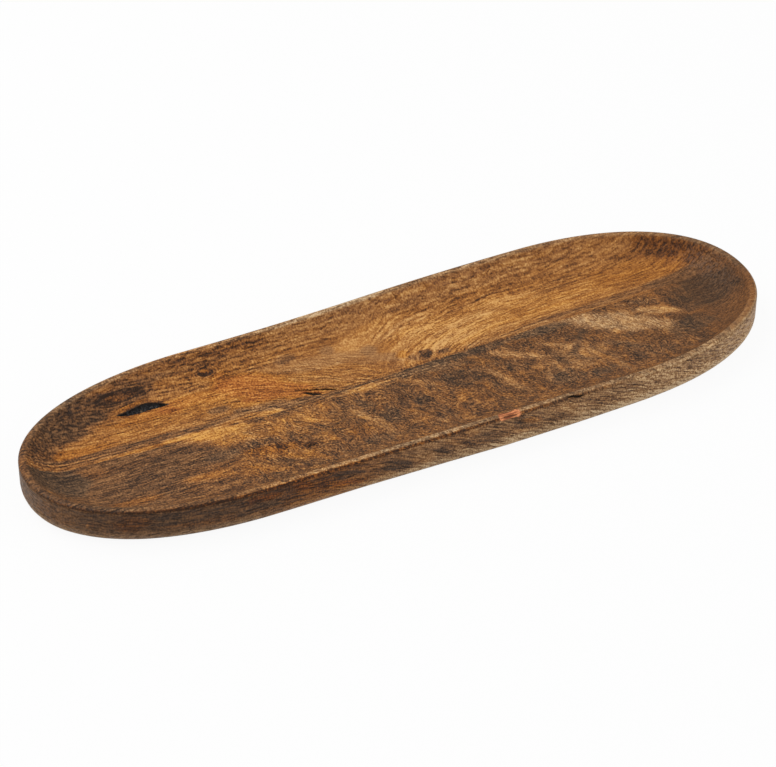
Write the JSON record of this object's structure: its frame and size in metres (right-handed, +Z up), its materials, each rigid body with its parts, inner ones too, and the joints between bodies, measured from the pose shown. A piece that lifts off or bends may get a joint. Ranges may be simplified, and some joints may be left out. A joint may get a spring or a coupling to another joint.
{
  "type": "wooden platter",
  "caption": "Long oval serving platter hollowed from a plank of dark figured hardwood, with a flat rim, a shallow dish and a flat underside.",
  "frame": {"origin": "on the underside, at the middle of the outline's length and width", "axes": "+X along the platter towards its wider end, +Y across it towards the side that widens, +Z up out of the dish"},
  "size_m": [0.51, 0.1576, 0.026],
  "materials": {
    "wood": "satin oiled"
  },
  "bodies": {
    "root": {"platter": "wood"}
  },
  "joints": []
}
